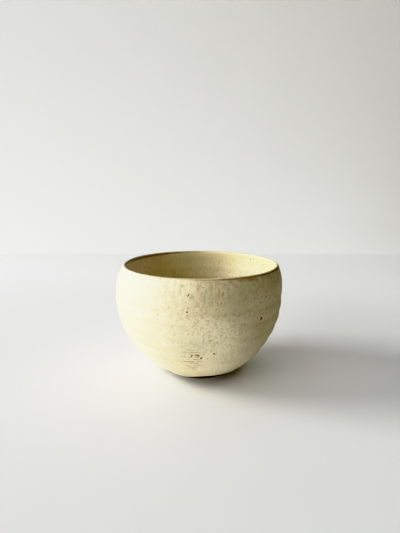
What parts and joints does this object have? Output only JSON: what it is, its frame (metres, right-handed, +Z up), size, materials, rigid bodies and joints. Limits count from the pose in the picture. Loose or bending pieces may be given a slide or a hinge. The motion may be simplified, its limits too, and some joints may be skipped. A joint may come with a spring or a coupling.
{
  "type": "latte bowl",
  "caption": "Round hand-thrown stoneware bowl for milky coffee, with a matte cream glaze, a rim that turns in and a low bare foot ring; holds a warm drink in both hands.",
  "frame": {"origin": "middle of the face that the bowl stands on, level with the table", "axes": "+Z up along the bowl's axis; the pictured front faces -Y and the picture's right is +X"},
  "size_m": [0.115, 0.115, 0.0775],
  "materials": {
    "stoneware": "bare brown stoneware, fired, gritty and dull",
    "cream_glaze": "matte cream glaze with fine mottling",
    "rim_glaze": "glaze broken thin and brown over the lip, satin",
    "iron": "dark fired iron, slightly glossy"
  },
  "bodies": {
    "root": {"clay_body": "stoneware", "foot_ring": "stoneware", "outer_glaze": "cream_glaze", "inner_glaze": "cream_glaze", "lip_band": "rim_glaze", "iron_specks": "iron"}
  },
  "joints": []
}
